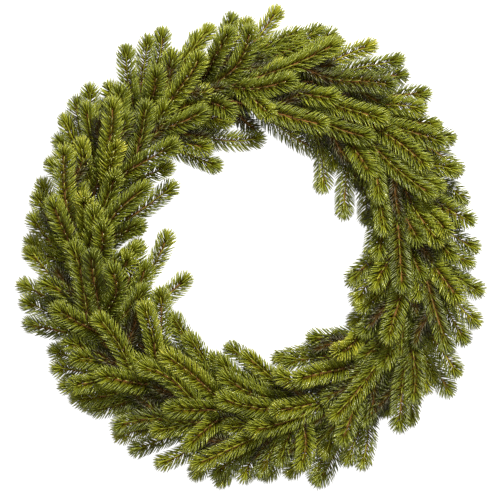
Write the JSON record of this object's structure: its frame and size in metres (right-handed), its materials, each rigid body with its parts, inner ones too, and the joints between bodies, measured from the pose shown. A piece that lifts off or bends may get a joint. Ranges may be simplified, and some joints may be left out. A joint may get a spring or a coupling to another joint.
{
  "type": "evergreen wreath",
  "caption": "Round evergreen wreath lying on its back: overlapping spruce sprays, swept clockwise, clamped to a double-rail wire ring round an open centre.",
  "frame": {"origin": "under the middle of the wreath's box, on the surface that it lies on", "axes": "+Z out of the wreath's face, +Y towards its top as it hangs, +X to the right seen from the front"},
  "size_m": [0.599, 0.6154, 0.116],
  "materials": {
    "needles": "living spruce needles, satin, darker inside and yellow-green at the young tips",
    "bark": "matt orange-brown bark of young shoots",
    "wire": "dark green enamelled steel wire"
  },
  "bodies": {
    "root": {"ring_frame": "wire", "spray_01": "needles", "spray_02": "needles", "spray_03": "needles", "spray_04": "needles", "spray_05": "needles", "spray_06": "needles", "spray_07": "needles", "spray_08": "needles", "spray_09": "needles", "spray_10": "needles", "spray_11": "needles", "spray_12": "needles", "spray_13": "needles", "spray_14": "needles", "spray_15": "needles", "spray_16": "needles", "spray_17": "needles", "spray_18": "needles", "spray_19": "needles", "spray_20": "needles", "spray_21": "needles", "spray_22": "needles", "spray_23": "needles", "spray_24": "needles", "spray_25": "needles", "spray_26": "needles", "spray_27": "needles", "spray_28": "needles", "spray_29": "needles", "spray_30": "needles", "spray_31": "needles", "spray_32": "needles", "spray_33": "needles", "spray_34": "needles", "spray_35": "needles", "spray_36": "needles", "spray_37": "needles", "spray_38": "needles", "spray_39": "needles", "spray_40": "needles", "spray_41": "needles", "spray_42": "needles", "spray_43": "needles", "spray_44": "needles", "spray_45": "needles", "spray_46": "needles", "spray_47": "needles", "spray_48": "needles", "spray_49": "needles", "spray_50": "needles", "spray_51": "needles", "spray_52": "needles", "spray_53": "needles", "spray_54": "needles", "spray_55": "needles", "spray_56": "needles"}
  },
  "joints": []
}
